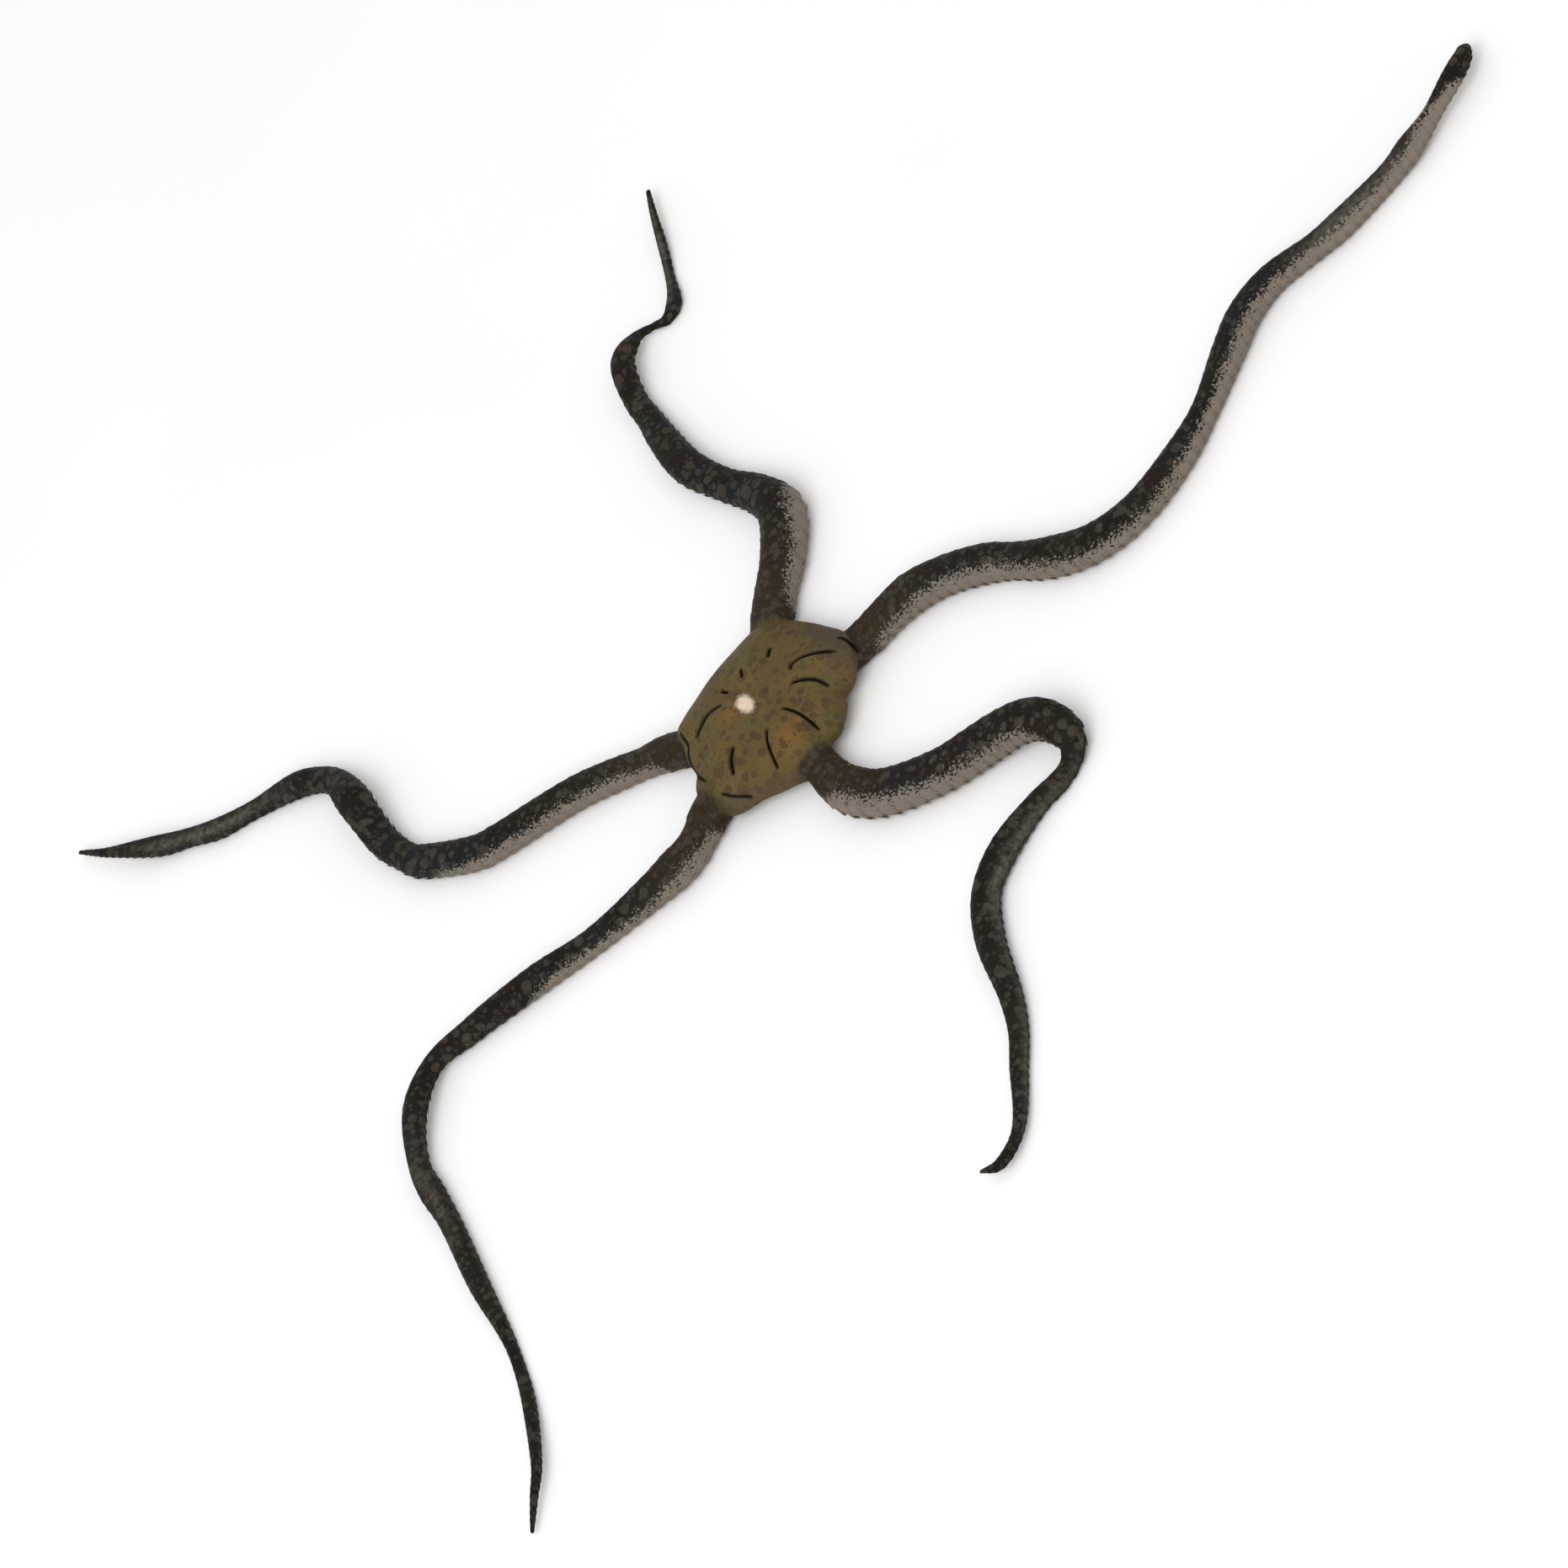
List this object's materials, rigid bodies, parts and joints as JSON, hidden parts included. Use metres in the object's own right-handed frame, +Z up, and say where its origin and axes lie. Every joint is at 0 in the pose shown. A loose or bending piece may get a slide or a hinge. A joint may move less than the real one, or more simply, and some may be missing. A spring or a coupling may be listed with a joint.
{
  "type": "brittle star model",
  "caption": "Life-size still model of a smooth brittle star: a low domed disc and long, winding, tapering arms with short spines lying along their sides.",
  "frame": {"origin": "middle of the mouth, on the floor under the disc", "axes": "+Z up; +X and +Y lie along the floor, with +Y away from the viewer of the picture and the longest extent along X"},
  "size_m": [0.2052, 0.1651, 0.0066],
  "materials": {
    "skin": "satin: near-black brown plates with paler sides on the arms, fine olive-brown granules with darker spots on the disc",
    "mouth_skin": "matt, pale horn colour"
  },
  "bodies": {
    "root": {"arm_n_1": "skin", "arm_n_2": "skin", "arm_n_3": "skin", "arm_n_4": "skin", "arm_n_5": "skin", "arm_ne_1": "skin", "arm_ne_2": "skin", "arm_ne_3": "skin", "arm_ne_4": "skin", "arm_ne_5": "skin", "arm_se_1": "skin", "arm_se_2": "skin", "arm_se_3": "skin", "arm_se_4": "skin", "arm_se_5": "skin", "arm_se_6": "skin", "arm_sw_1": "skin", "arm_sw_2": "skin", "arm_sw_3": "skin", "arm_sw_4": "skin", "arm_sw_5": "skin", "arm_w_1": "skin", "arm_w_2": "skin", "arm_w_3": "skin", "arm_w_4": "skin", "arm_w_5": "skin", "disc": "skin", "mouth_frame": "mouth_skin"}
  },
  "joints": []
}
